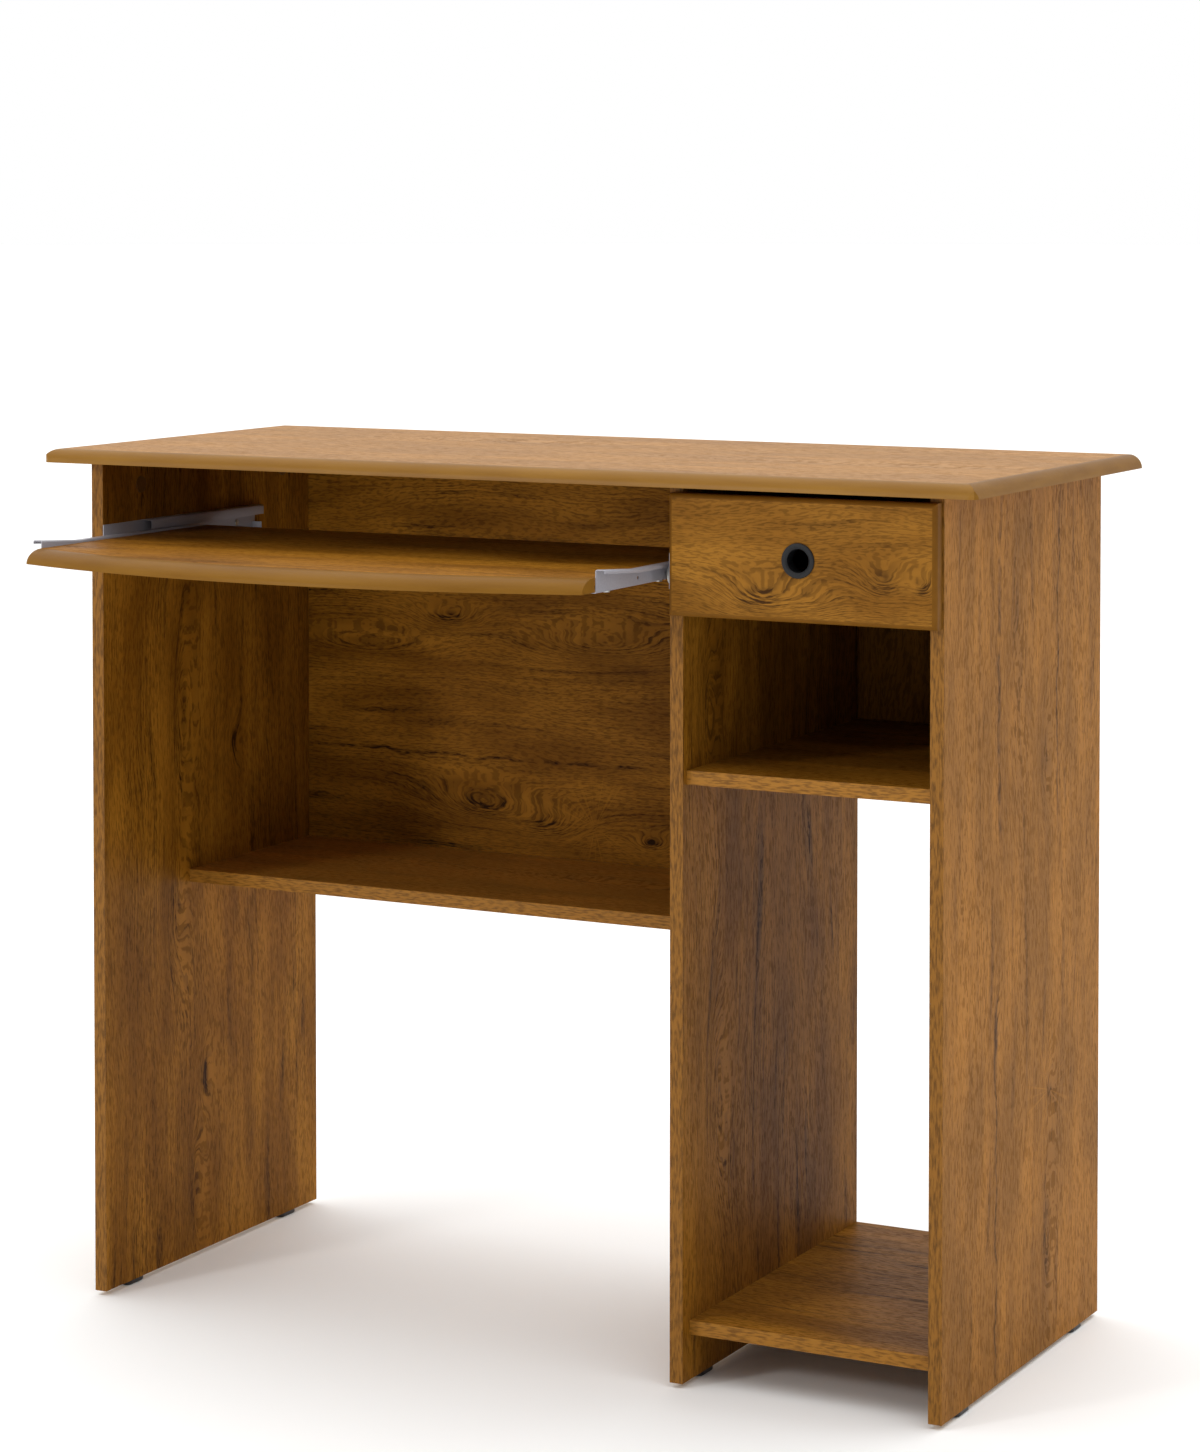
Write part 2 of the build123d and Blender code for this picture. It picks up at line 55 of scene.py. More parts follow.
camera_data = bpy.data.cameras.new("camera")
camera_data.lens = 95.5
camera_data.sensor_width = 36.0
camera_data.shift_y = -0.278
camera = bpy.data.objects.new("camera", camera_data)
camera.location = (1.5934, -2.9434, 1.0059)
camera.rotation_euler = (math.radians(87.94), 0.0, math.radians(27.6))
scene.collection.objects.link(camera)
scene.camera = camera


def linear(colour):
    """Linear RGBA of an sRGB hex colour."""
    parts = [int(colour[i:i + 2], 16) / 255 for i in (1, 3, 5)]
    return [p / 12.92 if p <= 0.04045 else ((p + 0.055) / 1.055) ** 2.4 for p in parts] + [1.0]


def add(tree, kind, inputs, **settings):
    """One node with its settings; an input is a value or another node's output. Gives its outputs."""
    made = tree.nodes.new("ShaderNode" + kind)
    for name, value in settings.items():
        setattr(made, name, value)
    for socket, value in inputs.items():
        if isinstance(value, bpy.types.NodeSocket):
            tree.links.new(value, made.inputs[socket])
        else:
            made.inputs[socket].default_value = value
    return made.outputs


world = bpy.data.worlds.new("studio")
world.use_nodes = True
tree = world.node_tree
direction = add(tree, "SeparateXYZ", {0: add(tree, "TexCoord", {})["Generated"]})
brightness = add(tree, "MapRange", {"Value": direction["Y"], "From Min": -0.9, "From Max": 0.1,
                                    "To Min": 0.52, "To Max": 1.0}, interpolation_type="SMOOTHSTEP")[0]
tree.nodes["Background"].inputs["Color"].default_value = linear("#ffffff")
tree.links.new(brightness, tree.nodes["Background"].inputs["Strength"])
scene.world = world

ceiling_data = bpy.data.lights.new("ceiling_light", "SUN")
ceiling_data.energy = 1.5
ceiling_data.angle = math.radians(90)
ceiling = bpy.data.objects.new("ceiling_light", ceiling_data)
scene.collection.objects.link(ceiling)

lamp_data = bpy.data.lights.new("front_left_lamp", "AREA")
lamp_data.shape = "DISK"
lamp_data.size = 0.55
lamp_data.energy = 25.0
lamp = bpy.data.objects.new("front_left_lamp", lamp_data)
lamp.location = (-1.62, -3.1, 1.75)
lamp.rotation_euler = (Vector((0.0, 0.0, 0.5)) - lamp.location).to_track_quat("-Z", "Y").to_euler()
scene.collection.objects.link(lamp)

floor_paint = bpy.data.materials.new("matt_white_floor_paint")
floor_paint.use_nodes = True
floor_shader = floor_paint.node_tree.nodes["Principled BSDF"]
floor_shader.inputs["Base Color"].default_value = linear("#fcfcfb")
floor_shader.inputs["Roughness"].default_value = 0.9
bpy.ops.mesh.primitive_circle_add(vertices=96, radius=60.0, fill_type="NGON", location=(0, 0, -0.0003))
floor = bpy.context.object
floor.name = "floor"
floor.data.materials.append(floor_paint)


# Worktop ----------------------------------------------------------------------------------------
# One 12 mm board of chipboard with a wood-print paper foil on both faces: an oak figure in brown
# inks under a satin lacquer. Its back edge is taped, and mouldings are glued on the other three.


def oak_foil(name, along, across, seed, knots=(), cracks=(), stars=(), figure=1.0,
             inks=("#a26c1e", "#815212", "#321b04"), gloss_level=0.06):
    """Paper foil printed as oak: the grain runs along one axis and parts round the knots. In mm:
    a knot is (along, across, half length, half width, lift of the lines, darkness of its heart),
    a crack is (across, from along, to along, width), a star is (along, across, radius)."""
    foil = bpy.data.materials.new(name)
    foil.use_nodes = True
    tree = foil.node_tree
    shader = tree.nodes["Principled BSDF"]
    shader.inputs["IOR"].default_value = 1.5
    shader.inputs["Specular IOR Level"].default_value = gloss_level
    axes = add(tree, "SeparateXYZ", {0: add(tree, "TexCoord", {})["Object"]})
    through = ({"X", "Y", "Z"} - {along, across}).pop()
    flat = add(tree, "CombineXYZ", {0: axes[along], 1: axes[across]})[0]
    shift = (seed * 0.71, seed * 0.37, seed * 0.53)
    printed = add(tree, "CombineXYZ", {0: axes[along], 1: axes[across], 2: axes[through]})[0]
    printed = add(tree, "VectorMath", {0: printed, 1: shift}, operation="ADD")[0]

    def spots(vector, length, width, detail, low, high):
        """Noise with spots this long and wide in mm, 0 below low and 1 above high."""
        size = (1 / (length * mm), 1 / (width * mm), 1 / (40 * mm))
        vector = add(tree, "VectorMath", {0: vector, 1: size}, operation="MULTIPLY")[0]
        noise = add(tree, "TexNoise", {"Vector": vector, "Scale": 1.0, "Detail": detail})[0]
        return add(tree, "MapRange", {"Value": noise, "From Min": low, "From Max": high})[0]

    drift = spots(printed, 380, 110, 2, 0.2, 0.8)
    field = add(tree, "Math", {0: drift, 1: 34 * mm, 2: axes[across]}, operation="MULTIPLY_ADD")[0]
    wobble = spots(printed, 30, 10, 2, 0.2, 0.8)
    field = add(tree, "Math", {0: wobble, 1: 2.6 * mm, 2: field}, operation="MULTIPLY_ADD")[0]
    hearts = 0.0
    around_knots = 0.0
    for place_along, place_across, half_length, half_width, lift, darkness in knots:
        scale = (1 / (half_length * mm), 1 / (half_width * mm), 0)
        centre = (-place_along / half_length, -place_across / half_width, 0)
        offset = add(tree, "VectorMath", {0: flat, 1: scale, 2: centre}, operation="MULTIPLY_ADD")[0]
        square = add(tree, "VectorMath", {0: offset, 1: offset}, operation="DOT_PRODUCT")["Value"]
        fall = add(tree, "Math", {0: square, 1: -1.0}, operation="MULTIPLY")[0]
        swell = add(tree, "Math", {0: fall}, operation="EXPONENT")[0]
        field = add(tree, "Math", {0: swell, 1: lift * mm, 2: field}, operation="MULTIPLY_ADD")[0]
        heart = add(tree, "MapRange", {"Value": swell, "From Min": 0.7, "To Max": darkness})[0]
        hearts = add(tree, "Math", {0: hearts, 1: heart}, operation="MAXIMUM")[0]
        around_knots = add(tree, "Math", {0: around_knots, 1: swell}, operation="MAXIMUM")[0]

    fibre = add(tree, "CombineXYZ", {0: axes[along], 1: field, 2: axes[through]})[0]
    fibre = add(tree, "VectorMath", {0: fibre, 1: shift}, operation="ADD")[0]
    year = add(tree, "Math", {0: field, 1: 1 / (3.6 * mm)}, operation="MULTIPLY")[0]
    uneven = spots(fibre, 240, 20, 2, 0.2, 0.8)
    year = add(tree, "Math", {0: uneven, 1: 3.0, 2: year}, operation="MULTIPLY_ADD")[0]
    year = add(tree, "Math", {0: year}, operation="FRACT")[0]
    late_wood = add(tree, "MapRange", {"Value": year, "From Min": 0.45, "From Max": 1.0},
                    interpolation_type="SMOOTHSTEP")[0]
    zone = spots(printed, 230, 55, 1, 0.42, 0.68)
    zone = add(tree, "Math", {0: zone, 1: around_knots}, operation="MAXIMUM")[0]
    rings = add(tree, "Math", {0: late_wood, 1: zone}, operation="MULTIPLY")[0]
    bands = spots(fibre, 150, 4.5, 3, 0.38, 0.66)
    # Real pores are about 0.3 mm wide. The print of them is drawn as coarse as it needs to show.
    pores = spots(fibre, 8, 1.3, 1, 0.49, 0.58)
    streaks = spots(fibre, 170, 11, 2, 0.60, 0.74)
    blotch = spots(printed, 150, 40, 3, 0.36, 0.64)

    ink = add(tree, "Math", {0: rings, 1: 0.38 * figure}, operation="MULTIPLY")[0]
    layers = ((bands, 0.20 * figure), (pores, 0.34), (streaks, 0.42 * figure))
    for layer, strength in layers:
        ink = add(tree, "Math", {0: layer, 1: strength, 2: ink}, operation="MULTIPLY_ADD")[0]
    if knots:
        broken = add(tree, "Math", {0: hearts, 1: spots(fibre, 14, 1.8, 2, 0.4, 0.6)},
                     operation="MULTIPLY")[0]
        ink = add(tree, "Math", {0: broken, 1: 0.9, 2: ink}, operation="MULTIPLY_ADD")[0]
    for place_across, start, end, width in cracks:
        stray = spots(printed, 42, 300, 3, 0.0, 1.0)
        line = add(tree, "Math", {0: stray, 1: -22 * mm, 2: axes[across]}, operation="MULTIPLY_ADD")[0]
        line = add(tree, "Math", {0: line, 1: (place_across - 11) * mm}, operation="SUBTRACT")[0]
        line = add(tree, "Math", {0: line}, operation="ABSOLUTE")[0]
        line = add(tree, "MapRange", {"Value": line, "From Min": 0.2 * width * mm,
                                      "From Max": width * mm, "To Min": 1.0, "To Max": 0.0})[0]
        for edge, side in ((start, 1), (end, -1)):
            inside = add(tree, "MapRange", {"Value": axes[along], "From Min": edge * mm,
                                            "From Max": (edge + side * 40) * mm})[0]
            line = add(tree, "Math", {0: line, 1: inside}, operation="MULTIPLY")[0]
        line = add(tree, "Math", {0: line, 1: spots(printed, 25, 300, 2, 0.3, 0.55)},
                   operation="MULTIPLY")[0]
        ink = add(tree, "Math", {0: line, 1: 0.58, 2: ink}, operation="MULTIPLY_ADD")[0]
    ink = add(tree, "Math", {0: ink, 1: 1.0}, operation="MINIMUM")[0]

    for place_along, place_across, radius in stars:
        centre = (-place_along * mm, -place_across * mm, 0)
        offset = add(tree, "VectorMath", {0: flat, 1: centre}, operation="ADD")[0]
        reach = add(tree, "VectorMath", {0: offset}, operation="LENGTH")["Value"]
        parts = add(tree, "SeparateXYZ", {0: offset})
        angle = add(tree, "Math", {0: parts[1], 1: parts[0]}, operation="ARCTAN2")[0]
        rays = add(tree, "TexNoise", {"W": angle, "Scale": 7.0, "Detail": 3}, noise_dimensions="1D")[0]
        rays = add(tree, "MapRange", {"Value": rays, "From Min": 0.54, "From Max": 0.62})[0]
        fade = add(tree, "MapRange", {"Value": reach, "From Min": 6 * mm, "From Max": radius * mm,
                                      "To Min": 0.45, "To Max": 0.0})[0]
        rays = add(tree, "Math", {0: rays, 1: fade}, operation="MULTIPLY")[0]
        ink = add(tree, "Math", {0: ink, 1: rays}, operation="SUBTRACT", use_clamp=True)[0]

    light, mid, dark = [linear(one) for one in inks]
    ground = add(tree, "Mix", {0: blotch, 6: light, 7: mid}, data_type="RGBA")[2]
    colour = add(tree, "Mix", {0: ink, 6: ground, 7: dark}, data_type="RGBA")[2]
    tree.links.new(colour, shader.inputs["Base Color"])
    gloss = add(tree, "MapRange", {"Value": pores, "To Min": 0.46, "To Max": 0.6})[0]
    tree.links.new(gloss, shader.inputs["Roughness"])
    relief = add(tree, "Bump", {"Height": pores, "Strength": 0.2, "Distance": 0.1 * mm}, invert=True)[0]
    tree.links.new(relief, shader.inputs["Normal"])
    return foil


# Bare chipboard: coarse pale chips in resin, as a saw leaves it. Dull, mottled tan.
chipboard = bpy.data.materials.new("bare_chipboard_edge")
chipboard.use_nodes = True
tree = chipboard.node_tree
place = add(tree, "TexCoord", {})["Object"]
chips = add(tree, "TexVoronoi", {"Vector": place, "Scale": 1 / (2.5 * mm)})["Color"]
chip_tone = add(tree, "SeparateColor", {0: chips})[0]
chip_colour = add(tree, "Mix", {0: chip_tone, 6: linear("#8d6a40"), 7: linear("#c09a66")},
                  data_type="RGBA")[2]
tree.links.new(chip_colour, tree.nodes["Principled BSDF"].inputs["Base Color"])
tree.nodes["Principled BSDF"].inputs["Roughness"].default_value = 0.85
chip_relief = add(tree, "Bump", {"Height": chip_tone, "Strength": 0.5, "Distance": 0.3 * mm})[0]
tree.links.new(chip_relief, tree.nodes["Principled BSDF"].inputs["Normal"])

# Edge tape: melamine paper glued on and trimmed flush. The eye gets short brown dashes along it.


def edge_tape(name, along, ground, dash):
    """Printed tape whose dashes run along one axis, in two browns."""
    tape = bpy.data.materials.new(name)
    tape.use_nodes = True
    tree = tape.node_tree
    shader = tree.nodes["Principled BSDF"]
    size = [1 / (1.4 * mm)] * 3
    size["XYZ".index(along)] = 1 / (9 * mm)
    place = add(tree, "TexCoord", {})["Object"]
    stretched = add(tree, "VectorMath", {0: place, 1: size}, operation="MULTIPLY")[0]
    dashes = add(tree, "TexNoise", {"Vector": stretched, "Scale": 1.0, "Detail": 2})[0]
    dashes = add(tree, "MapRange", {"Value": dashes, "From Min": 0.42, "From Max": 0.66,
                                    "To Max": 0.65})[0]
    colour = add(tree, "Mix", {0: dashes, 6: linear(ground), 7: linear(dash)}, data_type="RGBA")[2]
    tree.links.new(colour, shader.inputs["Base Color"])
    shader.inputs["Roughness"].default_value = 0.42
    shader.inputs["Specular IOR Level"].default_value = 0.15
    return tape


tape_upright = edge_tape("printed_edge_tape_upright", "Z", "#8a5c20", "#42270a")
tape_level = edge_tape("printed_edge_tape_level", "X", "#9a6824", "#50300e")


def block(name, low, high, radius, segments=2):
    """A squared block between two corners, with all its arrises rounded to this radius."""
    middle = [(a + b) / 2 for a, b in zip(low, high)]
    size = [b - a for a, b in zip(low, high)]
    bpy.ops.mesh.primitive_cube_add(size=1, location=middle, scale=size)
    piece = bpy.context.object
    piece.name = name
    bpy.ops.object.transform_apply(location=True, rotation=True, scale=True)
    bpy.ops.object.mode_set(mode="EDIT")
    bpy.ops.mesh.bevel(offset=radius, segments=segments, affect="EDGES")
    bpy.ops.object.mode_set(mode="OBJECT")
    return piece


def finish(piece, axis, face_material, edge_material):
    """One material on the two faces across an axis, another on the edges round them."""
    piece.data.materials.append(face_material)
    piece.data.materials.append(edge_material)
    for polygon in piece.data.polygons:
        polygon.material_index = 0 if abs(polygon.normal[axis]) > 0.9 else 1


def fixed(piece, body, slot, *nodes):
    """The piece rides on a body in place of its CAD nodes; the slot for the record's finish is not used.
    """
    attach(piece, body)
    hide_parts(*nodes)


arris = 0.3 * mm
top_foil = oak_foil("oak_print_foil_on_the_worktop", "X", "Y", 1.0, figure=0.5, knots=[
    (-120, 150, 150, 34, 48, 0.3), (250, 40, 190, 30, 40, 0.2)],
    inks=("#b27c2f", "#a06e27", "#5c3a14"), gloss_level=0.2)
top_board = block("worktop_board", *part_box("top_board"), arris)
finish(top_board, 2, top_foil, tape_level)
fixed(top_board, "desk", "faced_chipboard_top", "top_board")


# Edge mouldings ---------------------------------------------------------------------------------
# Quarter-round mouldings of MDF wrapped in plain brown foil, glued on the worktop's front and ends
# and on the tray's bowed front. They meet in mitres at the worktop's front corners.


def wrapping_foil(name, light, dark, gloss_level):
    """Plain brown foil in two close shades, clouded along the moulding, with a faint satin grain."""
    foil = bpy.data.materials.new(name)
    foil.use_nodes = True
    tree = foil.node_tree
    shader = tree.nodes["Principled BSDF"]
    place = add(tree, "TexCoord", {})["Object"]
    size = (1 / (90 * mm), 1 / (60 * mm), 1 / (8 * mm))
    cloud_place = add(tree, "VectorMath", {0: place, 1: size}, operation="MULTIPLY")[0]
    cloud = add(tree, "TexNoise", {"Vector": cloud_place, "Scale": 1.0, "Detail": 4})[0]
    cloud = add(tree, "MapRange", {"Value": cloud, "From Min": 0.3, "From Max": 0.7})[0]
    colour = add(tree, "Mix", {0: cloud, 6: linear(light), 7: linear(dark)}, data_type="RGBA")[2]
    tree.links.new(colour, shader.inputs["Base Color"])
    film = add(tree, "TexNoise", {"Vector": place, "Scale": 1 / (3 * mm), "Detail": 2})[0]
    film_gloss = add(tree, "MapRange", {"Value": film, "To Min": 0.34, "To Max": 0.42})[0]
    tree.links.new(film_gloss, shader.inputs["Roughness"])
    film_relief = add(tree, "Bump", {"Height": film, "Strength": 0.08, "Distance": 0.1 * mm})[0]
    tree.links.new(film_relief, shader.inputs["Normal"])
    shader.inputs["Specular IOR Level"].default_value = gloss_level
    return foil


def refinish(node, material):
    """A CAD node whose shape is right gets its real finish."""
    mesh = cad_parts[node].data
    mesh.materials.clear()
    mesh.materials.append(material)


top_wrap = wrapping_foil("plain_brown_foil_on_the_worktop_mouldings", "#8f6626", "#825a20", 0.14)
# The right end and the tray take a darker foil as painted shade: the right end turns from the light, and
# the tray lies under the worktop.
painted_shade_wrap = wrapping_foil("plain_brown_foil_darkened_as_painted_shade", "#815a20", "#754f1a", 0.06)
refinish("top_front_moulding", top_wrap)
refinish("top_left_moulding", top_wrap)
refinish("top_right_moulding", painted_shade_wrap)
refinish("tray_moulding", painted_shade_wrap)


# Upright panels ---------------------------------------------------------------------------------
# Three 12 mm boards with upright grain. Each has a printed tape on its front edge and bare
# chipboard at the back and underneath. They stand on glides and carry the worktop.

panel_prints = {
    "left_panel": dict(seed=3.0, knots=[
        (505, 30, 120, 24, 38, 0.3), (476, 122, 26, 12, 14, 1.0), (169, 70, 34, 12, 14, 0.9),
        (330, 20, 90, 20, 26, 0.3), (60, 52, 80, 18, 24, 0.5)]),
    "divider_panel": dict(seed=4.0, knots=[
        (563, -50, 90, 26, 34, 0.3), (232, -30, 120, 22, 30, 0.3)]),
    "right_panel": dict(seed=5.0, figure=0.8, knots=[
        (515, 132, 60, 14, 17, 0.4), (110, 138, 110, 16, 24, 0.5), (300, 24, 36, 7, 8, 0.9),
        (225, 147, 40, 12, 11, 0.5), (560, 60, 120, 16, 14, 0.2)],
        cracks=[(28, 430, 800, 5.0), (24, 250, 370, 6.0), (24, -10, 290, 2.5), (162, 440, 720, 2.5)],
        stars=[(228, 147, 60)], inks=("#a16b26", "#86581c", "#45290c")),
}
for node, facts in panel_prints.items():
    panel = block(node.replace("_panel", "_upright"), *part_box(node), arris)
    finish(panel, 0, oak_foil("oak_print_foil_on_the_" + node, "Z", "Y", **facts), chipboard)
    fixed(panel, "desk", "faced_chipboard", node)


def group_boxes(node):
    """The (low, high) corners of each separate solid in a node of like pieces."""
    shape = bmesh.new()
    shape.from_mesh(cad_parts[node].data)
    bmesh.ops.remove_doubles(shape, verts=shape.verts, dist=0.001 * mm)
    left = set(shape.verts)
    boxes = []
    while left:
        to_visit = [left.pop()]
        places = []
        while to_visit:
            vertex = to_visit.pop()
            places.append(vertex.co.copy())
            for edge in vertex.link_edges:
                other = edge.other_vert(vertex)
                if other in left:
                    left.remove(other)
                    to_visit.append(other)
        boxes.append([[pick(p[i] for p in places) for i in range(3)] for pick in (min, max)])
    shape.free()
    return sorted(boxes)


def joined(name, pieces):
    """Like pieces joined into one object with this name."""
    bpy.ops.object.select_all(action="DESELECT")
    for piece in pieces:
        piece.select_set(True)
    bpy.context.view_layer.objects.active = pieces[0]
    if len(pieces) > 1:
        bpy.ops.object.join()
    pieces[0].name = name
    return pieces[0]


tape_arris = 0.15 * mm
tape_sets = (
    ("panel_edge_tapes", "upright_tapes", tape_upright),
    ("shelf_edge_tapes", "shelf_tapes", tape_level),
)
for node, name, material in tape_sets:
    tapes = joined(name, [block(name, low, high, tape_arris, 1) for low, high in group_boxes(node)])
    tapes.data.materials.append(material)
    fixed(tapes, "desk", "edge_tape", node)


# Shelves and modesty panel ----------------------------------------------------------------------
# Boards between the uprights, with level grain. Their cams are let into the underside, and the
# modesty panel's into its back, so each has round seats bored there.

seat_radius = 6.1 * mm
seat_overrun = 1.0 * mm             # the cutter of a cam's seat starts this far outside the board
inner_prints = {
    "modesty_panel": dict(axis=1, along="X", across="Z", seed=6.0, figure=1.1, knots=[
        (-75, 572, 75, 17, 24, 0.25), (-245, 590, 36, 14, 18, 0.9), (-205, 412, 55, 22, 32, 0.8),
        (-135, 396, 45, 18, 24, 0.6), (-24, 388, 20, 10, 14, 1.0), (-330, 560, 90, 16, 20, 0.2)],
        cracks=[(458, -410, -20, 2.6)], stars=[(-85, 399, 60)],
        inks=("#a06a1e", "#7c4e10", "#2c1703")),
    # The lower shelf's lighter inks are painted light: they brighten a shelf that gets little light under
    # the tray.
    "lower_shelf": dict(axis=2, along="X", across="Y", seed=7.0, knots=[(0, 150, 150, 30, 40, 0.2)],
                        figure=0.7, inks=("#bd822f", "#a27023", "#52320d"), gloss_level=0.4),
    "niche_shelf": dict(axis=2, along="X", across="Y", seed=8.0),
    "bottom_shelf": dict(axis=2, along="X", across="Y", seed=9.0),
}


def bored(piece, seats, radius):
    """Cuts a round hole for each (low, high, axis), as deep as that box is along its axis."""
    cutters = []
    for low, high, axis in seats:
        middle = [(a + b) / 2 for a, b in zip(low, high)]
        turn = ((0, math.pi / 2, 0), (math.pi / 2, 0, 0), (0, 0, 0))[axis]
        bpy.ops.mesh.primitive_cylinder_add(vertices=32, radius=radius, depth=high[axis] - low[axis],
                                            location=middle, rotation=turn)
        cutters.append(bpy.context.object)
    cutter = joined("cutter", cutters)
    bpy.ops.object.transform_apply(location=True, rotation=True, scale=True)
    bpy.ops.object.select_all(action="DESELECT")
    bpy.context.view_layer.objects.active = piece
    cut = piece.modifiers.new("seats", "BOOLEAN")
    cut.operation = "DIFFERENCE"
    cut.object = cutter
    cut.solver = "EXACT"
    bpy.ops.object.modifier_apply(modifier=cut.name)
    bpy.data.objects.remove(cutter)


def touches(a, b, margin):
    """True where two (low, high) boxes meet, give or take the margin."""
    return all(a[0][i] - margin < b[1][i] and b[0][i] - margin < a[1][i] for i in range(3))


cams = group_boxes("cam_locks")
for node, facts in inner_prints.items():
    axis = facts.pop("axis")
    low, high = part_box(node)
    shelf = block(node.replace("_shelf", "_shelf_board").replace("_panel", "_board"), low, high, arris)
    foil = oak_foil("oak_print_foil_on_the_" + node, **facts)
    finish(shelf, axis, foil, chipboard)
    seats = []
    for cam_low, cam_high in cams:
        if touches((low, high), (cam_low, cam_high), -seat_overrun):
            seat_low, seat_high = list(cam_low), list(cam_high)
            if axis == 2:
                seat_low[axis] -= seat_overrun
            else:
                seat_high[axis] += seat_overrun
            seats.append((seat_low, seat_high, axis))
    bored(shelf, seats, seat_radius)
    fixed(shelf, "desk", "faced_chipboard", node)


# Fittings of the boards -------------------------------------------------------------------------
# Zinc cams turn on steel bolts and pull the boards together, and beech dowels keep them in line.
# Brown plastic caps cover the cams in the uprights. Plated nails hold the back and the glides.

# Metal: a dull grey casting for the cams, and a brighter plated steel for screws, nails and rivets.
# Both have a faint uneven skin, drawn as coarse as it needs to show.
zinc = bpy.data.materials.new("die_cast_zinc")
steel = bpy.data.materials.new("zinc_plated_steel")
for metal, shade, rough in ((zinc, "#a9a9a6", 0.5), (steel, "#c0c0ba", 0.32)):
    metal.use_nodes = True
    tree = metal.node_tree
    shader = tree.nodes["Principled BSDF"]
    place = add(tree, "TexCoord", {})["Object"]
    cast = add(tree, "TexNoise", {"Vector": place, "Scale": 1 / (1.2 * mm), "Detail": 3})[0]
    shader.inputs["Base Color"].default_value = linear(shade)
    shader.inputs["Metallic"].default_value = 1.0
    dull = add(tree, "MapRange", {"Value": cast, "To Min": rough - 0.1, "To Max": rough + 0.14})[0]
    tree.links.new(dull, shader.inputs["Roughness"])
    skin = add(tree, "Bump", {"Height": cast, "Strength": 0.15, "Distance": 0.05 * mm})[0]
    tree.links.new(skin, shader.inputs["Normal"])

# Raw beech: pale and matt with small brown flecks.
beech = bpy.data.materials.new("raw_beech")
beech.use_nodes = True
tree = beech.node_tree
place = add(tree, "TexCoord", {})["Object"]
flecks = add(tree, "TexNoise", {"Vector": place, "Scale": 1 / (1.0 * mm), "Detail": 2})[0]
beech_colour = add(tree, "Mix", {0: flecks, 6: linear("#cfa878"), 7: linear("#b98d5c")},
                   data_type="RGBA")[2]
tree.links.new(beech_colour, tree.nodes["Principled BSDF"].inputs["Base Color"])
tree.nodes["Principled BSDF"].inputs["Roughness"].default_value = 0.7


def moulded_plastic(name, shade, rough, grit):
    """Injection-moulded plastic, satin with the grain of its spark-eroded mould. The grit, in mm, is
    drawn as coarse as it needs to show."""
    plastic = bpy.data.materials.new(name)
    plastic.use_nodes = True
    tree = plastic.node_tree
    shader = tree.nodes["Principled BSDF"]
    place = add(tree, "TexCoord", {})["Object"]
    grain = add(tree, "TexNoise", {"Vector": place, "Scale": 1 / (grit * mm), "Detail": 2})[0]
    pale = [min(1.0, 1.35 * part) for part in linear(shade)]
    colour = add(tree, "Mix", {0: grain, 6: linear(shade), 7: pale}, data_type="RGBA")[2]
    tree.links.new(colour, shader.inputs["Base Color"])
    dull = add(tree, "MapRange", {"Value": grain, "To Min": rough - 0.06, "To Max": rough + 0.08})[0]
    tree.links.new(dull, shader.inputs["Roughness"])
    skin = add(tree, "Bump", {"Height": grain, "Strength": 0.2, "Distance": 0.05 * mm})[0]
    tree.links.new(skin, shader.inputs["Normal"])
    return plastic


cap_plastic = moulded_plastic("brown_polypropylene", "#5c3a12", 0.45, 0.6)
for node in ("cam_locks", "drawer_cam_locks"):
    refinish(node, zinc)
for node in ("cam_bolts", "drawer_cam_bolts", "foot_nails", "back_nails", "drawer_back_screws",
             "front_roller_axles", "tray_roller_axles", "drawer_roller_axles"):
    refinish(node, steel)
for node in ("dowels", "drawer_dowels"):
    refinish(node, beech)
refinish("cam_caps", cap_plastic)


# Glides -----------------------------------------------------------------------------------------
# Black polypropylene glides, two nailed under each upright, that lift the chipboard off the floor.
# They keep the shape of the CAD nodes.

glide_plastic = moulded_plastic("black_polypropylene", "#0d0d0e", 0.42, 0.5)
refinish("feet", glide_plastic)


# Niche back -------------------------------------------------------------------------------------
# A sheet of hardboard nailed on behind the drawer and the niche: wood print on the face that shows
# in the niche, bare brown fibre behind.

bare_hardboard = bpy.data.materials.new("bare_hardboard")
bare_hardboard.use_nodes = True
tree = bare_hardboard.node_tree
place = add(tree, "TexCoord", {})["Object"]
fibres = add(tree, "TexNoise", {"Vector": place, "Scale": 1 / (1.5 * mm), "Detail": 4})[0]
fibre_colour = add(tree, "Mix", {0: fibres, 6: linear("#4f3314"), 7: linear("#7d5a2c")},
                   data_type="RGBA")[2]
tree.links.new(fibre_colour, tree.nodes["Principled BSDF"].inputs["Base Color"])
tree.nodes["Principled BSDF"].inputs["Roughness"].default_value = 0.8
back_foil = oak_foil("oak_print_on_hardboard", "Z", "X", 11.0, inks=("#8a5a18", "#6c430e", "#2c1703"))
niche_back = block("niche_hardboard", *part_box("niche_back"), 0.2 * mm)
niche_back.data.materials.append(back_foil)
niche_back.data.materials.append(bare_hardboard)
for polygon in niche_back.data.polygons:
    polygon.material_index = 0 if polygon.normal.y < -0.9 else 1
fixed(niche_back, "desk", "hardboard", "niche_back")
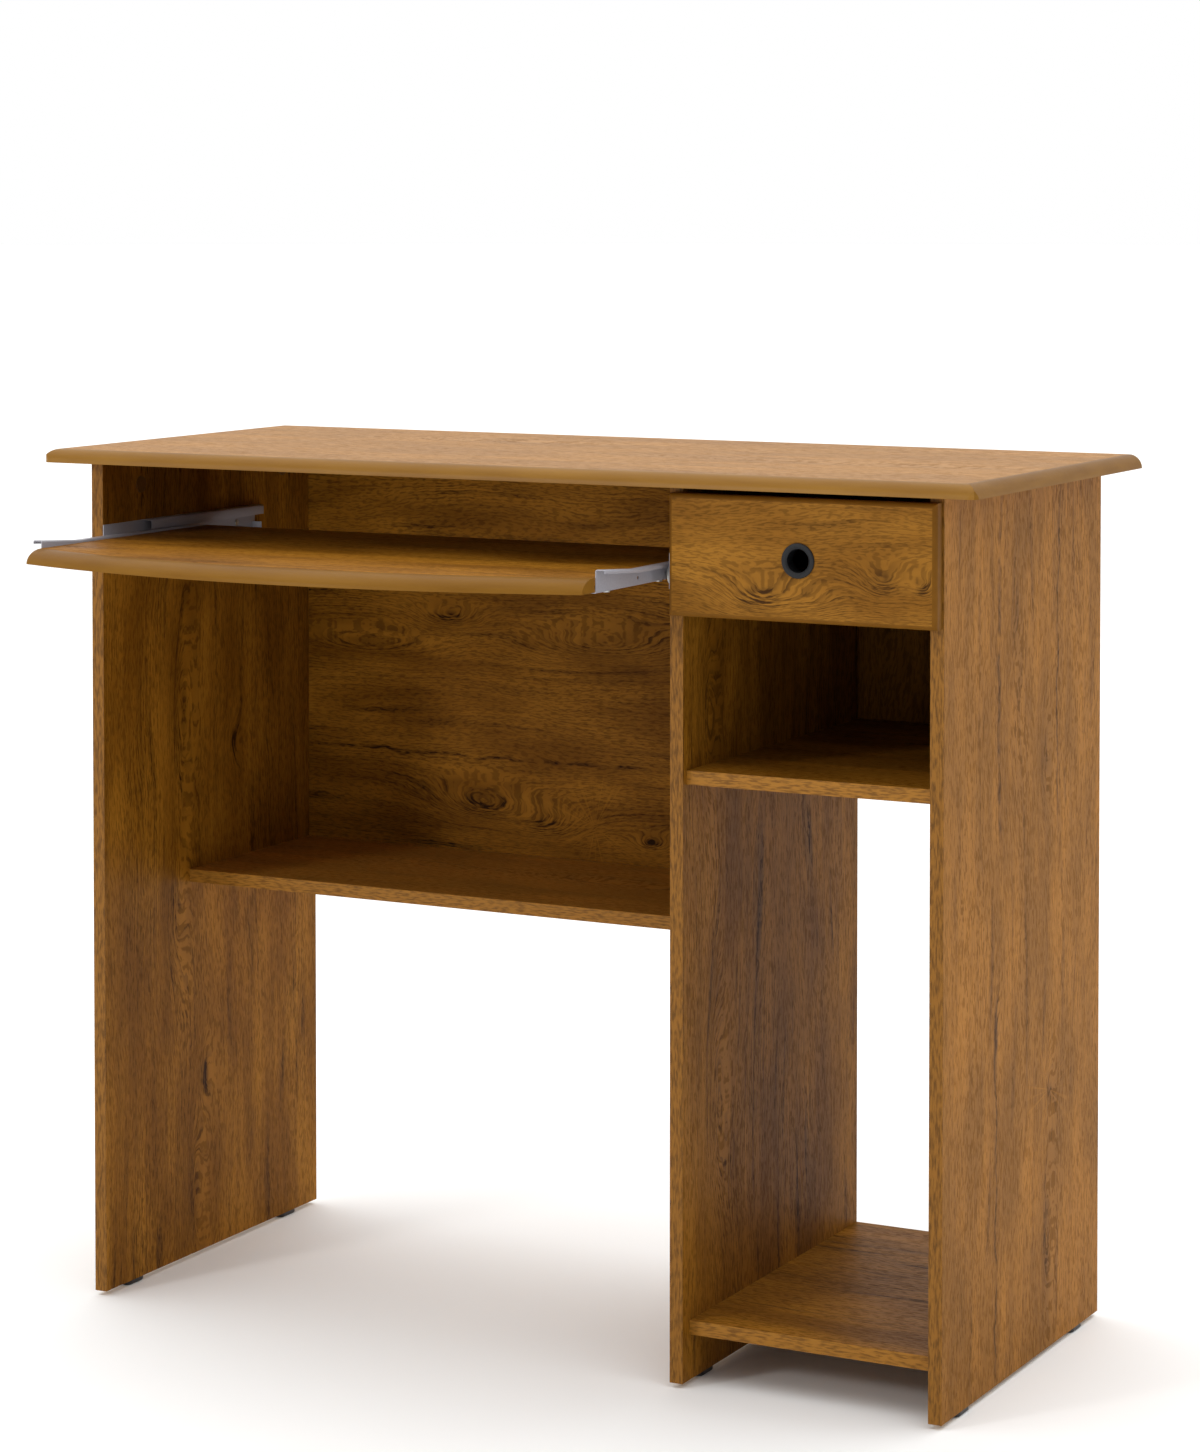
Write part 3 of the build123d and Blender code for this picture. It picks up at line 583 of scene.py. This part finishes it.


# Slides -----------------------------------------------------------------------------------------
# Roller slides of 1 mm steel, folded and sprayed in light grey epoxy. A rail is screwed to each
# upright, and a runner under each edge of tray and drawer, and nylon rollers run between them.

# Epoxy: light grey, glossy, with the faint orange peel of sprayed powder. Its grey is drawn darker than
# the paint, as painted shade for the web under the flange.
epoxy = bpy.data.materials.new("light_grey_epoxy_darkened_as_painted_shade")
epoxy.use_nodes = True
tree = epoxy.node_tree
shader = tree.nodes["Principled BSDF"]
place = add(tree, "TexCoord", {})["Object"]
peel = add(tree, "TexNoise", {"Vector": place, "Scale": 1 / (1.6 * mm), "Detail": 3})[0]
epoxy_and_shade_colour = add(tree, "Mix", {0: peel, 6: linear("#8f8e95"), 7: linear("#a2a0a7")},
                   data_type="RGBA")[2]
tree.links.new(epoxy_and_shade_colour, shader.inputs["Base Color"])
epoxy_gloss = add(tree, "MapRange", {"Value": peel, "To Min": 0.24, "To Max": 0.36})[0]
tree.links.new(epoxy_gloss, shader.inputs["Roughness"])
epoxy_relief = add(tree, "Bump", {"Height": peel, "Strength": 0.12, "Distance": 0.1 * mm})[0]
tree.links.new(epoxy_relief, shader.inputs["Normal"])

gauge = 1.0 * mm
bend = 1.3 * mm                     # radius of a fold, at the middle of the sheet
nose_rise = 4.4 * mm                # the runner's flange is higher at its front end
nose_length = 60.0 * mm
runner_roller_room = 28.0 * mm      # no flange over the runner's rear roller
foot_under_board = 11.0 * mm        # the runner's foot reaches this far under its board
rail_front_room = (34.0 * mm, 62.0 * mm)  # the rail's lower and upper flanges start here
tiny = 0.01 * mm


def select(piece, kind, test):
    """In edit mode, selects the vertices, edges or faces all of whose corners pass the test."""
    bpy.ops.mesh.select_all(action="DESELECT")
    bpy.ops.mesh.select_mode(type=kind)
    shape = bmesh.from_edit_mesh(piece.data)
    items = {"VERT": shape.verts, "EDGE": shape.edges, "FACE": shape.faces}[kind]
    for item in items:
        if all(test(corner.co) for corner in ([item] if kind == "VERT" else item.verts)):
            item.select_set(True)
    shape.select_flush_mode()
    bmesh.update_edit_mesh(piece.data)


def stretched(move):
    """Extrudes the selected edges by this much."""
    bpy.ops.mesh.extrude_edges_move(TRANSFORM_OT_translate={"value": move})


def sheet_web(name, x, length, z_from, z_to, cuts):
    """An upright strip, the middle surface of a sheet, cut across at these places. Stays in edit mode."""
    bpy.ops.mesh.primitive_plane_add(size=1, location=(x, length / 2, (z_from + z_to) / 2),
                                     rotation=(0, math.pi / 2, 0))
    piece = bpy.context.object
    piece.name = name
    piece.scale = (z_to - z_from, length, 1)
    bpy.ops.object.transform_apply(location=True, rotation=True, scale=True)
    bpy.ops.object.mode_set(mode="EDIT")
    for cut in cuts:
        bpy.ops.mesh.select_all(action="SELECT")
        bpy.ops.mesh.bisect(plane_co=(0, cut, 0), plane_no=(0, 1, 0))
    return piece


def applied(piece, kind, **settings):
    """Adds a modifier with these settings and applies it."""
    bpy.ops.object.select_all(action="DESELECT")
    bpy.context.view_layer.objects.active = piece
    piece.select_set(True)
    modifier = piece.modifiers.new(kind.lower(), kind)
    for setting, value in settings.items():
        setattr(modifier, setting, value)
    bpy.ops.object.modifier_apply(modifier=modifier.name)


def sheet_metal(piece):
    """Gives the folded middle surface its gauge and slightly worn edges. Leaves edit mode."""
    bpy.ops.object.mode_set(mode="OBJECT")
    applied(piece, "SOLIDIFY", thickness=gauge, offset=0, use_even_offset=True)
    applied(piece, "BEVEL", width=0.18 * mm, segments=2, limit_method="ANGLE",
            angle_limit=math.radians(50))
    bpy.ops.object.shade_smooth_by_angle(angle=math.radians(35))


def pierced(piece, x, y, z, radius):
    """A round hole through the web."""
    half_depth = 2.0 * mm
    low = (x - half_depth, y - radius, z - radius)
    high = (x + half_depth, y + radius, z + radius)
    bored(piece, [(low, high, 0)], radius)
    bpy.ops.object.select_all(action="DESELECT")
    piece.select_set(True)
    bpy.context.view_layer.objects.active = piece
    bpy.ops.object.shade_smooth_by_angle(angle=math.radians(35))


def runner_of(length):
    """A runner for the right side: x 0 at the board, y 0 at the front, z 0 at the underside."""
    web_x, foot_z, flange_z = 0.5 * mm, 0.7 * mm, 14.9 * mm
    lip_x, lip_depth = 8.9 * mm, 2.7 * mm
    hole_y, hole_z, hole_radius = 74.0 * mm, 6.7 * mm, 1.6 * mm
    flange_end = length - runner_roller_room
    piece = sheet_web("runner", web_x, length, foot_z, flange_z, (nose_length, flange_end))
    select(piece, "EDGE", lambda at: at.z < foot_z + tiny)
    stretched((-foot_under_board - web_x, 0, 0))
    select(piece, "EDGE", lambda at: at.z > flange_z - tiny and at.y < flange_end + tiny)
    stretched((lip_x - web_x, 0, 0))
    stretched((0, 0, -lip_depth))
    select(piece, "VERT", lambda at: at.y < tiny and at.z > flange_z / 2)
    bpy.ops.transform.translate(value=(0, 0, nose_rise))
    select(piece, "EDGE", lambda at: at.z < foot_z + tiny and abs(at.x - web_x) < tiny)
    bpy.ops.mesh.bevel(offset=bend, segments=3, affect="EDGES")
    select(piece, "EDGE", lambda at: at.z > flange_z - tiny and at.y < flange_end + tiny
           and (abs(at.x - web_x) < tiny or abs(at.x - lip_x) < tiny))
    bpy.ops.mesh.bevel(offset=bend, segments=3, affect="EDGES")
    sheet_metal(piece)
    pierced(piece, web_x, hole_y, hole_z, hole_radius)
    return piece


def rail_of(length):
    """A rail for the right side, in the runner's frame, screwed flat on the upright."""
    web_x, low_z, high_z, lip_x = 12.1 * mm, -5.5 * mm, 24.3 * mm, 2.0 * mm
    low_lip, high_lip = 3.2 * mm, 8.3 * mm
    stop_y, stop_z = length - 4.0 * mm, 8.7 * mm
    low_from, high_from = rail_front_room
    piece = sheet_web("rail", web_x, length, low_z, high_z, rail_front_room)
    select(piece, "EDGE", lambda at: at.z < low_z + tiny and at.y > low_from - tiny)
    stretched((lip_x - web_x, 0, 0))
    stretched((0, 0, low_lip))
    select(piece, "EDGE", lambda at: at.z > high_z - tiny and at.y > high_from - tiny)
    stretched((lip_x - web_x, 0, 0))
    stretched((0, 0, -high_lip))
    select(piece, "EDGE", lambda at: (abs(at.x - web_x) < tiny or abs(at.x - lip_x) < tiny)
           and ((at.z < low_z + tiny and at.y > low_from - tiny)
                or (at.z > high_z - tiny and at.y > high_from - tiny)))
    bpy.ops.mesh.bevel(offset=bend, segments=3, affect="EDGES")
    sheet_metal(piece)
    stop = block("stop", (lip_x, stop_y, low_z), (web_x, stop_y + gauge, stop_z), 0.2 * mm)
    return joined("rail", [piece, stop])


def placed(original, name, side, x, y, z):
    """A copy with its own mesh, mirrored for the left side, moved to its place."""
    piece = original.copy()
    piece.data = original.data.copy()
    piece.name = name
    scene.collection.objects.link(piece)
    piece.data.transform(Matrix.Translation((x, y, z)) @ Matrix.Diagonal((side, 1, 1, 1)))
    if side < 0:
        piece.data.flip_normals()
    return piece


# Nylon: white, drawn greyish as painted shade where the rollers sit in the slides' shadow, with a soft
# sheen.
nylon = moulded_plastic("white_nylon_greyed_as_painted_shade", "#aaa8a2", 0.45, 0.7)
for owner in ("tray", "drawer"):
    low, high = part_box(f"{owner}_right_runner")
    slide_length = high[1] - low[1]
    runner = runner_of(slide_length)
    rail = rail_of(slide_length)
    for side, word in ((-1, "left"), (1, "right")):
        low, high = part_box(f"{owner}_{word}_runner")
        rail_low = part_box(f"{owner}_{word}_rail")[0]
        board_x = low[0] + foot_under_board if side > 0 else high[0] - foot_under_board
        folded_runner = placed(runner, f"{owner}_{word}_folded_runner", side,
                               board_x, low[1], low[2])
        folded_runner.data.materials.append(epoxy)
        fixed(folded_runner, owner, "slide_steel", f"{owner}_{word}_runner")
        folded_rail = placed(rail, f"{owner}_{word}_folded_rail", side,
                             board_x, rail_low[1], low[2])
        folded_rail.data.materials.append(epoxy)
        fixed(folded_rail, "desk", "slide_steel", f"{owner}_{word}_rail")
        for end in ("front", "rear"):
            refinish(f"{owner}_{word}_{end}_roller", nylon)
    bpy.data.objects.remove(runner)
    bpy.data.objects.remove(rail)


# Screws -----------------------------------------------------------------------------------------
# Zinc-plated pan-head chipboard screws with a cross recess. They hold the rails to the uprights
# and the runners under the boards.


def pan_head_screw(length, radius, head_radius, head_height):
    """A screw that points up, with the underside of its head at the origin."""
    tip = 2.5 * mm
    bpy.ops.mesh.primitive_cylinder_add(vertices=24, radius=head_radius, depth=head_height,
                                        location=(0, 0, -head_height / 2))
    piece = bpy.context.object
    bpy.ops.object.transform_apply(location=True, rotation=True, scale=True)
    bpy.ops.object.mode_set(mode="EDIT")
    select(piece, "EDGE", lambda at: at.z < -head_height + tiny)
    bpy.ops.mesh.bevel(offset=0.6 * head_height, segments=4, affect="EDGES")
    select(piece, "FACE", lambda at: at.z > -tiny)
    bpy.ops.mesh.inset(thickness=head_radius - radius)
    bpy.ops.mesh.extrude_region_move(TRANSFORM_OT_translate={"value": (0, 0, length - tip)})
    bpy.ops.mesh.extrude_region_move(TRANSFORM_OT_translate={"value": (0, 0, tip)})
    bpy.ops.transform.resize(value=(0.15, 0.15, 1))
    bpy.ops.object.mode_set(mode="OBJECT")
    arm = 0.6 * head_radius
    half = 0.13 * head_radius
    depth = 0.45 * head_height
    for reach in ((arm, half), (half, arm)):
        low = (-reach[0], -reach[1], -head_height - depth)
        high = (reach[0], reach[1], -head_height + depth)
        cutter = block("recess", low, high, 0.05 * mm, 1)
        applied(piece, "BOOLEAN", operation="DIFFERENCE", object=cutter, solver="EXACT")
        bpy.data.objects.remove(cutter)
    bpy.ops.object.shade_smooth_by_angle(angle=math.radians(40))
    return piece


def screws_at(name, node, body, head_radius, head_height, points_to):
    """Screws in place of a node's, each turned to point the way that points_to gives for its box."""
    length, radius = 10.0 * mm, 1.75 * mm
    screw = pan_head_screw(length, radius, head_radius, head_height)
    copies = []
    for low, high in group_boxes(node):
        towards = Vector(points_to(low, high))
        middle = (Vector(low) + Vector(high)) / 2
        half_span = (length + head_height) / 2
        seat = middle + towards * (head_height - half_span)
        turn = towards.to_track_quat("Z", "Y").to_matrix().to_4x4()
        copy = placed(screw, name, 1, 0, 0, 0)
        copy.data.transform(Matrix.Translation(seat) @ turn)
        copies.append(copy)
    bpy.data.objects.remove(screw)
    screws = joined(name, copies)
    screws.data.materials.append(steel)
    fixed(screws, body, "fastener_steel", node)


def towards_upright(low, high):
    """Away from the middle of the slide that the screw is in."""
    middle = (low[0] + high[0]) / 2
    for node in ("left_panel", "divider_panel", "right_panel"):
        panel_low, panel_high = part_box(node)
        if low[0] < panel_high[0] and high[0] > panel_low[0]:
            return (1 if (panel_low[0] + panel_high[0]) / 2 > middle else -1, 0, 0)


# The heads in the rails are lower and narrower than those under the runners.
screws_at("rail_pan_head_screws", "rail_screws", "desk", 3.0 * mm, 1.0 * mm, towards_upright)
for owner in ("tray", "drawer"):
    screws_at(f"{owner}_pan_head_screws", f"{owner}_runner_screws", owner, 3.2 * mm, 1.6 * mm,
              lambda low, high: (0, 0, 1))


# Keyboard tray ----------------------------------------------------------------------------------
# A 12 mm faced board with a bowed front, which the moulding follows. Its ends and back are taped.


def board_copy(name, node, width):
    """A copy of a node's mesh, made whole and with its sharp arrises eased."""
    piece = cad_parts[node].copy()
    piece.data = piece.data.copy()
    piece.name = name
    piece.parent = None
    piece.matrix_world = Matrix.Identity(4)
    scene.collection.objects.link(piece)
    piece.data.materials.clear()
    bpy.ops.object.select_all(action="DESELECT")
    piece.select_set(True)
    bpy.context.view_layer.objects.active = piece
    bpy.ops.object.mode_set(mode="EDIT")
    bpy.ops.mesh.select_all(action="SELECT")
    bpy.ops.mesh.remove_doubles(threshold=0.001 * mm)
    bpy.ops.mesh.dissolve_limited(angle_limit=math.radians(0.5))
    bpy.ops.object.mode_set(mode="OBJECT")
    applied(piece, "BEVEL", width=width, segments=2, limit_method="ANGLE",
            angle_limit=math.radians(50))
    bpy.ops.object.shade_smooth_by_angle(angle=math.radians(35))
    return piece


tray_tape = edge_tape("printed_edge_tape_on_the_tray", "Y", "#8a5c20", "#42270a")
tray_sheet = board_copy("tray_shelf", "tray_board", arris)
finish(tray_sheet, 2, oak_foil("oak_print_foil_on_the_tray", "X", "Y", 2.0), tray_tape)
fixed(tray_sheet, "tray", "faced_chipboard", "tray_board")


# Drawer front -----------------------------------------------------------------------------------
# A board with a softly rounded front edge. The wood print covers its flat face, and the rounded
# edge is plain brown like the mouldings. A round hole takes the pull.

# Lacquer: plain brown, satin, slightly cloudy where it was brushed round the edge. Its dark tone is
# partly painted shade, for an edge that turns from the light.
edge_lacquer_and_shade = bpy.data.materials.new("brown_lacquer_and_painted_shade_on_the_rounded_edge")
edge_lacquer_and_shade.use_nodes = True
tree = edge_lacquer_and_shade.node_tree
shader = tree.nodes["Principled BSDF"]
place = add(tree, "TexCoord", {})["Object"]
brushed = add(tree, "TexNoise", {"Vector": place, "Scale": 1 / (14 * mm), "Detail": 4})[0]
colour = add(tree, "Mix", {0: brushed, 6: linear("#7a5017"), 7: linear("#5e3b0c")}, data_type="RGBA")[2]
tree.links.new(colour, shader.inputs["Base Color"])
dull = add(tree, "MapRange", {"Value": brushed, "To Min": 0.4, "To Max": 0.6})[0]
tree.links.new(dull, shader.inputs["Roughness"])
shader.inputs["Specular IOR Level"].default_value = 0.06

front_rounding = 4.5 * mm
low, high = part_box("drawer_front")
bpy.ops.mesh.primitive_cube_add(size=1, location=[(a + b) / 2 for a, b in zip(low, high)],
                                scale=[b - a for a, b in zip(low, high)])
face_board = bpy.context.object
face_board.name = "drawer_face"
bpy.ops.object.transform_apply(location=True, rotation=True, scale=True)
bpy.ops.object.mode_set(mode="EDIT")
select(face_board, "EDGE", lambda at: at.y > high[1] - tiny)
bpy.ops.mesh.bevel(offset=arris, segments=1, affect="EDGES")
select(face_board, "EDGE", lambda at: at.y < low[1] + tiny)
bpy.ops.mesh.bevel(offset=front_rounding, segments=8, affect="EDGES")
bpy.ops.object.mode_set(mode="OBJECT")
front_foil = oak_foil("oak_print_foil_on_the_drawer", "X", "Z", 10.0, knots=[
    (254, 667, 40, 22, 26, 0.9), (306, 666, 34, 16, 14, 0.0), (366, 684, 26, 20, 19, 0.6),
    (402, 682, 15, 15, 14, 0.8)], inks=("#9a6924", "#825519", "#3c240b"))
face_board.data.materials.append(front_foil)
face_board.data.materials.append(edge_lacquer_and_shade)
for polygon in face_board.data.polygons:
    polygon.material_index = 0 if polygon.normal.y < -0.98 else 1
ring_low, ring_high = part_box("drawer_pull_ring")
pull_x = (ring_low[0] + ring_high[0]) / 2
pull_z = (ring_low[2] + ring_high[2]) / 2
barrel_radius = 12.0 * mm
hole_low = (pull_x - barrel_radius, low[1] - mm, pull_z - barrel_radius)
hole_high = (pull_x + barrel_radius, high[1] + mm, pull_z + barrel_radius)
bored(face_board, [(hole_low, hole_high, 1)], barrel_radius)
bpy.ops.object.shade_smooth_by_angle(angle=math.radians(35))
fixed(face_board, "drawer", "faced_chipboard", "drawer_front")


# Pull -------------------------------------------------------------------------------------------
# A dark grey ABS ring pushed into the drawer front, for one finger: a low flat collar with a
# softened rim, a turned-in lip, and a barrel that lines the hole.

# ABS: nearly black, with a dull sheen.
abs_plastic = moulded_plastic("dark_grey_abs", "#141416", 0.42, 0.5)
abs_plastic.node_tree.nodes["Principled BSDF"].inputs["Specular IOR Level"].default_value = 0.25
collar_radius = (ring_high[0] - ring_low[0]) / 2
bore_radius = 9.8 * mm
lip_width = 1.4 * mm
rim_rounding = 0.9 * mm
lip_edge = 0.35 * mm
lip_fall = 0.6 * mm
lining_length = 3.0 * mm            # the first part of the lining, straight behind the lip
collar_height = low[1] - ring_low[1]
bpy.ops.mesh.primitive_cylinder_add(vertices=96, radius=collar_radius, depth=collar_height,
                                    location=(pull_x, ring_low[1] + collar_height / 2, pull_z),
                                    rotation=(math.pi / 2, 0, 0))
pull = bpy.context.object
pull.name = "finger_pull"
bpy.ops.object.transform_apply(location=True, rotation=True, scale=True)
bpy.ops.object.mode_set(mode="EDIT")
select(pull, "EDGE", lambda at: at.y < ring_low[1] + tiny)
bpy.ops.mesh.bevel(offset=rim_rounding, segments=4, affect="EDGES")
select(pull, "FACE", lambda at: at.y < ring_low[1] + tiny)
bpy.ops.mesh.inset(thickness=collar_radius - rim_rounding - bore_radius - lip_width)
bpy.ops.mesh.inset(thickness=lip_edge, depth=-lip_edge)
bpy.ops.mesh.inset(thickness=lip_width - lip_edge, depth=-lip_fall)
bpy.ops.mesh.extrude_region_move(TRANSFORM_OT_translate={"value": (0, lining_length, 0)})
bpy.ops.mesh.delete(type="FACE")
select(pull, "FACE", lambda at: at.y > low[1] - tiny)
bpy.ops.mesh.inset(thickness=collar_radius - barrel_radius)
bpy.ops.mesh.extrude_region_move(TRANSFORM_OT_translate={"value": (0, high[1] - low[1], 0)})
bpy.ops.mesh.inset(thickness=barrel_radius - bore_radius)
bpy.ops.mesh.delete(type="FACE")
bpy.ops.mesh.select_mode(type="EDGE")
bpy.ops.mesh.select_all(action="DESELECT")
bpy.ops.mesh.select_non_manifold()
bpy.ops.mesh.bridge_edge_loops()
bpy.ops.mesh.select_all(action="SELECT")
bpy.ops.mesh.normals_make_consistent(inside=False)
bpy.ops.object.mode_set(mode="OBJECT")
bpy.ops.object.shade_smooth_by_angle(angle=math.radians(35))
pull.data.materials.append(abs_plastic)
fixed(pull, "drawer", "pull_plastic", "drawer_pull_ring")


# Drawer box -------------------------------------------------------------------------------------
# Faced boards on their long edges, taped along the top, with a hardboard bottom let into grooves.
# The grooves can't be seen and aren't cut here, so the bottom's edges run into the boards.

box_foil = oak_foil("oak_print_foil_on_the_drawer_sides", "Y", "Z", 12.0)
back_board_foil = oak_foil("oak_print_foil_on_the_drawer_back", "X", "Z", 13.0)
for node, axis, foil, tape in (
        ("drawer_left_side", 0, box_foil, tray_tape), ("drawer_right_side", 0, box_foil, tray_tape),
        ("drawer_back", 1, back_board_foil, tape_level)):
    box_board = block(node + "_board", *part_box(node), arris)
    finish(box_board, axis, foil, tape)
    fixed(box_board, "drawer", "faced_chipboard", node)
bottom_foil = oak_foil("oak_print_on_the_drawer_bottom", "Y", "X", 14.0,
                       inks=("#8a5a18", "#6c430e", "#2c1703"))
drawer_bottom = block("drawer_bottom_hardboard", *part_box("drawer_bottom"), 0.2 * mm)
drawer_bottom.data.materials.append(bottom_foil)
drawer_bottom.data.materials.append(bare_hardboard)
for polygon in drawer_bottom.data.polygons:
    polygon.material_index = 0 if polygon.normal.z > 0.9 else 1
fixed(drawer_bottom, "drawer", "hardboard", "drawer_bottom")
